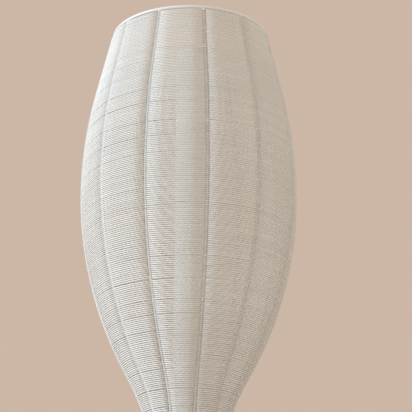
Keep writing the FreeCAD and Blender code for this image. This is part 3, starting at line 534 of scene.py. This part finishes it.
def frosted_glass():
    made, bench, shader = material("lamp_glass", 0.55, Transmission_Weight=0.5, IOR=1.46)
    place = own_place(bench)
    skin = apply(bench, grain, {"Place": place, "Colour": tone(246, 246, 244), "Size": 0.0006, "Shade": 0.03})
    bench.feed(shader.inputs["Base Color"], skin["Colour"])
    emboss(bench, shader, skin["Height"], 0.00003, 0.3)
    return made


finishes["opal_acrylic"] = opal("opal_acrylic", (250, 250, 247), 0.38)
finishes["opal_cap"] = opal("opal_cap", (240, 238, 231), 0.5)
finishes["lamp_glass"] = frosted_glass()

dressed = 0
for part in frame["record"]["subparts"]:
    mesh = frame["nodes"][part["node"]].data
    mesh.materials.clear()
    mesh.materials.append(finishes[part["material_slot"]])
    dressed += 1
print("solids with a finish:", dressed)

# %% [markdown]
# ## Winding the cord
#
# The winder walks round and round the frame with the cord, lays it over each rib, tucks it down against the rib's
# sides and pulls it nearly straight to the next. The tucks show as thin dark lines beside every rib. It could be
# drawn as a plain spiral, but then the shade would be round, and the real one has flat stretches between its
# ribs. Geometry Nodes suit this well, because the whole cord follows one rule. A line of points is made, each point
# works out which rib and which turn it belongs to, and is moved there.
#
# No turn lies quite evenly. The wires give a little and the hand tires, so the spacing wanders slowly along the
# cord, and here and there the winder leaves a wider gap that closes again some way round.

# %% Sizes of the winding
CORD_WIDTH = 0.00205
PITCH = 0.00295
STEPS = 8  # from one rib to the next
TUCK_LENGTH = 1.5  # how far from a rib the cord lies flush again, in distances from the rib to the cord
RIBS = len(RIB_TURNS)
GAP_EVERY = 9  # turns
GAP_DRIFT = 8.0  # turns
print("cord %.2f mm, one turn every %.2f mm" % (1000 * CORD_WIDTH, 1000 * PITCH))

# %% The tree that winds the cord
def winding_tree():
    tree = bpy.data.node_groups.new("wind cord on ribs", "GeometryNodeTree")
    tree.interface.new_socket("Ribs", in_out="INPUT", socket_type="NodeSocketGeometry")
    for label in ("Turns", "First Turn", "Last Turn"):
        tree.interface.new_socket(label, in_out="INPUT", socket_type="NodeSocketInt")
    for label in ("Cord Radius", "Rib Radius", "Tuck", "Slack", "Uneven", "Gap", "Seed"):
        tree.interface.new_socket(label, in_out="INPUT", socket_type="NodeSocketFloat")
    tree.interface.new_socket("Finish", in_out="INPUT", socket_type="NodeSocketMaterial")
    tree.interface.new_socket("Cord", in_out="OUTPUT", socket_type="NodeSocketGeometry")
    bench = Bench(tree)
    given = bench.node("NodeGroupInput").outputs
    result = bench.node("NodeGroupOutput").inputs
    ribs = bench.node("GeometryNodeMeshToCurve", None, {"Mesh": given["Ribs"]}).outputs["Curve"]

    per_turn = RIBS * STEPS
    turns = bench.sum("SUBTRACT", given["Last Turn"], given["First Turn"])
    count = bench.sum("ADD", bench.sum("MULTIPLY", turns, per_turn), 1)
    line = bench.node("GeometryNodeMeshLine", None, {"Count": count}).outputs["Mesh"]
    index = bench.node("GeometryNodeInputIndex").outputs["Index"]
    index = bench.sum("ADD", index, bench.sum("MULTIPLY", given["First Turn"], per_turn))
    leg = bench.sum("FLOOR", bench.sum("DIVIDE", bench.sum("ADD", index, 0.5), STEPS))
    step = bench.sum("SUBTRACT", index, bench.sum("MULTIPLY", leg, STEPS))

    reach = bench.sum("ADD", given["Rib Radius"], given["Cord Radius"])
    start = over_rib(bench, ribs, given, leg, reach)
    end = over_rib(bench, ribs, given, bench.sum("ADD", leg, 1), reach)
    chord = bench.vector("SUBTRACT", end, start)
    length = bench.vector("LENGTH", chord)
    flank = bench.sum("DIVIDE", reach, length)
    flush = bench.sum("MULTIPLY", flank, TUCK_LENGTH)
    near = bench.sum("MINIMUM", step, bench.sum("SUBTRACT", STEPS, step))
    from_rib = bench.sum("MULTIPLY", flank, bench.stretch(near, 0.0, 1.0, 0.0, 1.0))
    rising = bench.sum("SUBTRACT", flush, flank)
    from_rib = bench.sum("ADD", from_rib, bench.sum("MULTIPLY", rising, bench.stretch(near, 1.0, 2.0, 0.0, 1.0)))
    level = bench.sum("SUBTRACT", 0.5, flush)
    half_way = bench.stretch(near, 2.0, STEPS / 2, 0.0, 1.0)
    from_rib = bench.sum("ADD", from_rib, bench.sum("MULTIPLY", level, half_way))
    past_middle = bench.sum("GREATER_THAN", step, STEPS / 2)
    mirrored = bench.sum("SUBTRACT", 1.0, bench.sum("MULTIPLY", past_middle, 2.0))
    share = bench.sum("ADD", past_middle, bench.sum("MULTIPLY", from_rib, mirrored))
    straight = bench.vector("ADD", start, scaled(bench, chord, share))
    flat = bench.vector("MULTIPLY", straight, (1.0, 1.0, 0.0))
    bow = bench.sum("MULTIPLY", share, bench.sum("SUBTRACT", 1.0, share))
    bow = bench.sum("MULTIPLY", bow, bench.sum("MULTIPLY", length, length))
    bow = bench.sum("DIVIDE", bow, bench.sum("MULTIPLY", bench.vector("LENGTH", flat), 2.0))
    bow = bench.sum("MULTIPLY", bow, given["Slack"])
    tucked = bench.sum("LESS_THAN", bench.sum("ABSOLUTE", bench.sum("SUBTRACT", near, 1.0)), 0.5)
    bow = bench.sum("SUBTRACT", bow, bench.sum("MULTIPLY", tucked, given["Tuck"]))
    place = bench.vector("ADD", straight, scaled(bench, bench.vector("NORMALIZE", flat), bow))
    line = bench.node("GeometryNodeSetPosition", None, {"Geometry": line, "Position": place}).outputs[0]
    cord = bench.node("GeometryNodeMeshToCurve", None, {"Mesh": line}).outputs["Curve"]
    run = bench.node("GeometryNodeSplineParameter").outputs["Length"]
    cord = stored(bench, cord, "along", "FLOAT", run)

    ring = bench.node("GeometryNodeCurvePrimitiveCircle", {"mode": "RADIUS"},
                      {"Resolution": 6, "Radius": given["Cord Radius"]}).outputs["Curve"]
    turn = bench.sum("MULTIPLY", bench.node("GeometryNodeInputIndex").outputs["Index"], math.pi / 3)
    way = bench.node("ShaderNodeCombineXYZ", None,
                     {"X": bench.sum("COSINE", turn), "Y": bench.sum("SINE", turn)}).outputs["Vector"]
    ring = stored(bench, ring, "around", "FLOAT_VECTOR", way)
    tube = bench.node("GeometryNodeCurveToMesh", None,
                      {"Curve": cord, "Profile Curve": ring, "Fill Caps": True}).outputs["Mesh"]
    tube = bench.node("GeometryNodeSetShadeSmooth", None, {"Geometry": tube}).outputs[0]
    tube = bench.node("GeometryNodeRealizeInstances", None, {"Geometry": tube}).outputs[0]
    tube = bench.node("GeometryNodeSetMaterial", None, {"Geometry": tube, "Material": given["Finish"]}).outputs[0]
    bench.feed(result["Cord"], tube)
    return tree


def scaled(bench, vector, number):
    made = bench.node("ShaderNodeVectorMath", {"operation": "SCALE"}, {"Vector": vector, "Scale": number})
    return made.outputs["Vector"]


def stored(bench, geometry, name, kind, value):
    inputs = {"Geometry": geometry, "Name": name, "Value": value}
    made = bench.node("GeometryNodeStoreNamedAttribute", {"data_type": kind, "domain": "POINT"}, inputs)
    return made.outputs["Geometry"]


def over_rib(bench, ribs, given, leg, reach):
    """Where the cord's middle passes over a rib, that far outside the rib's own middle."""
    turn = bench.sum("DIVIDE", leg, RIBS)
    wander = bench.noise(bench.sum("ADD", bench.sum("MULTIPLY", leg, 0.27), given["Seed"]), 1.0, 1.0, "1D")
    wander = bench.sum("MULTIPLY", bench.sum("SUBTRACT", wander, 0.5), given["Uneven"])
    drift = bench.noise(bench.sum("ADD", bench.sum("MULTIPLY", turn, 0.07), given["Seed"]), 1.0, 1.0, "1D")
    group = bench.sum("DIVIDE", bench.sum("ADD", turn, bench.sum("MULTIPLY", drift, GAP_DRIFT)), GAP_EVERY)
    round_lamp = bench.sum("FRACT", turn)
    at_front = bench.sum("SUBTRACT", 1.0, round_lamp)
    shut_at_back = bench.sum("MULTIPLY", bench.sum("MULTIPLY", round_lamp, at_front), 4.0)
    patch = bench.sum("ADD", bench.sum("MULTIPLY", bench.sum("FLOOR", group), 17.3), given["Seed"])
    patch = bench.noise(bench.sum("ADD", patch, bench.sum("MULTIPLY", round_lamp, 2.6)), 1.0, 0.0, "1D")
    open_here = bench.sum("MULTIPLY", bench.stretch(patch, 0.42, 0.62, 0.0, 1.0), shut_at_back)
    jump = bench.sum("SUBTRACT", 0.5, bench.sum("FRACT", group))
    jump = bench.sum("MULTIPLY", bench.sum("MULTIPLY", jump, open_here), given["Gap"])
    where = bench.sum("DIVIDE", bench.sum("ADD", bench.sum("ADD", turn, wander), jump), given["Turns"])
    rib = bench.sum("FLOORED_MODULO", leg, RIBS)
    sample = bench.node("GeometryNodeSampleCurve", {"mode": "FACTOR", "use_all_curves": False},
                        {"Curves": ribs, "Factor": bench.stretch(where, 0.0, 1.0, 0.0, 1.0), "Curve Index": rib})
    place = sample.outputs["Position"]
    along = bench.vector("NORMALIZE", bench.vector("CROSS_PRODUCT", (0.0, 0.0, 1.0), place))
    outward = bench.vector("CROSS_PRODUCT", along, sample.outputs["Tangent"])
    return bench.vector("ADD", place, scaled(bench, outward, reach))


wind_cord = winding_tree()
print("the winding tree has", len(wind_cord.nodes), "nodes")

# %% Run a tree and keep its mesh
def linked(name, mesh):
    made = bpy.data.objects.new(name, mesh)
    bpy.context.scene.collection.objects.link(made)
    return made


def made_by(tree, start, name, inputs):
    """The plain mesh object that a tree makes from a starting mesh."""
    host = linked(name + "_start", start)
    modifier = host.modifiers.new("make", "NODES")
    modifier.node_group = tree
    sockets = {item.name: item.identifier for item in tree.interface.items_tree if item.in_out == "INPUT"}
    for label, value in inputs.items():
        modifier[sockets[label]] = value
    bpy.context.view_layer.update()
    graph = bpy.context.evaluated_depsgraph_get()
    shape = host.evaluated_get(graph)
    mesh = bpy.data.meshes.new_from_object(shape, preserve_all_data_layers=True, depsgraph=graph)
    bpy.data.objects.remove(host)
    mesh.name = name
    return linked(name, mesh)


def rib_lines(low, high, stops=90):
    """The ribs' centre lines between two heights, one after another, as points joined by edges."""
    points, edges = [], []
    for turn in RIB_TURNS:
        first = len(points)
        for stop in range(stops + 1):
            height = low + (high - low) * stop / stops
            points.append(polar(radius_at(height, RIB_DEPTH), turn, height))
        edges += [(first + stop, first + stop + 1) for stop in range(stops)]
    mesh = bpy.data.meshes.new("rib_lines")
    mesh.from_pydata(points, edges, [])
    length = sum((points[stop + 1] - points[stop]).length for stop in range(stops))
    return mesh, length


print("trees can be run")

# %% [markdown]
# The winding is made in four lengths, so that no piece is too heavy to export. They meet at the back rib, and
# replace the plain shells and the few thick turns that stand for the cord in the solids.

# %% Wind the four lengths
WAIST_SPLIT = 0.776
FOOT_START = 0.0205
RIM_END = 1.3915

layers = [name for name in frame["nodes"] if name.endswith(("_cord_layer", "_winding"))]
upper = [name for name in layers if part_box(name)[0].z > WAIST_SPLIT]
lower = [name for name in layers if name not in upper]


def wind(low, high, names, replaced, seed):
    """Cord on one stretch of the frame, split into as many pieces of equal turns as there are names."""
    ribs, length = rib_lines(low, high)
    turns = round(length / PITCH)
    for index, name in enumerate(names):
        inputs = {
            "Turns": turns,
            "First Turn": turns * index // len(names),
            "Last Turn": turns * (index + 1) // len(names),
            "Cord Radius": CORD_WIDTH / 2,
            "Rib Radius": RIB_WIRE / 2,
            "Tuck": 0.0025,
            "Slack": 0.7,
            "Uneven": 0.15,
            "Gap": 0.4,
            "Seed": seed,
            "Finish": finishes["wound_cord"],
        }
        cord = made_by(wind_cord, ribs, name, inputs)
        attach(cord, "lantern")
        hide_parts(*replaced)
        triangles = sum(len(face.vertices) - 2 for face in cord.data.polygons)
        print(name, "turns %d to %d," % (inputs["First Turn"], inputs["Last Turn"]), triangles, "triangles")


wind(FOOT_START, WAIST_SPLIT - PITCH / 2, ("cord_skirt", "cord_neck"), lower, 3.7)
wind(WAIST_SPLIT + PITCH / 2, RIM_END, ("cord_belly", "cord_shoulder"), upper, 11.2)

# %% [markdown]
# ## Welds
#
# Every rib is spot welded to each ring that it crosses. The joint squeezes out a small bead, and the paint rounds
# it off. Modelling one bead and copying it sixty times by hand would leave them all alike. A tree sets one small
# shape on a list of points instead, and gives each its own size along each axis.

# %% Set beads on points
def bead_tree():
    tree = bpy.data.node_groups.new("weld beads", "GeometryNodeTree")
    tree.interface.new_socket("Points", in_out="INPUT", socket_type="NodeSocketGeometry")
    for label in ("Bead Radius", "Uneven"):
        tree.interface.new_socket(label, in_out="INPUT", socket_type="NodeSocketFloat")
    tree.interface.new_socket("Seed", in_out="INPUT", socket_type="NodeSocketInt")
    tree.interface.new_socket("Finish", in_out="INPUT", socket_type="NodeSocketMaterial")
    tree.interface.new_socket("Beads", in_out="OUTPUT", socket_type="NodeSocketGeometry")
    bench = Bench(tree)
    given = bench.node("NodeGroupInput").outputs
    result = bench.node("NodeGroupOutput").inputs
    shape = {"Segments": 8, "Rings": 5, "Radius": given["Bead Radius"]}
    bead = bench.node("GeometryNodeMeshUVSphere", None, shape).outputs["Mesh"]
    bead = bench.node("GeometryNodeSetShadeSmooth", None, {"Geometry": bead}).outputs[0]
    least = bench.vector("SUBTRACT", (1.0, 1.0, 1.0), given["Uneven"])
    most = bench.vector("ADD", (1.0, 1.0, 1.0), given["Uneven"])
    spread = {"Min": least, "Max": most, "Seed": given["Seed"]}
    chance = bench.node("FunctionNodeRandomValue", {"data_type": "FLOAT_VECTOR"}, spread)
    size = open_socket(chance.outputs, "Value")
    beads = bench.node("GeometryNodeInstanceOnPoints", None,
                       {"Points": given["Points"], "Instance": bead, "Scale": size}).outputs["Instances"]
    beads = bench.node("GeometryNodeRealizeInstances", None, {"Geometry": beads}).outputs[0]
    coated = {"Geometry": beads, "Material": given["Finish"]}
    beads = bench.node("GeometryNodeSetMaterial", None, coated).outputs[0]
    bench.feed(result["Beads"], beads)
    return tree


crossings = []
for turn in RIB_TURNS:
    between = (RIB_DEPTH + HOOP_DEPTH) / 2
    crossings += [polar(radius_at(height, between), turn, height) for height in HOOP_HEIGHTS]
    crossings.append(polar(radius_at(RIM_HEIGHT, RIB_DEPTH), turn, RIM_HEIGHT - RIM_WIRE / 2))
    crossings.append(polar(radius_at(FOOT_RING_HEIGHT, RIB_DEPTH), turn, FOOT_RING_HEIGHT + FOOT_WIRE / 2))
weld_points = bpy.data.meshes.new("weld_points")
weld_points.from_pydata(crossings, [], [])
welds = made_by(bead_tree(), weld_points, "weld_beads",
                {"Bead Radius": 0.0021, "Uneven": 0.18, "Seed": 5, "Finish": finishes["frame_paint"]})
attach(welds, "lantern")
print(len(crossings), "weld beads,", len(welds.data.polygons), "faces")
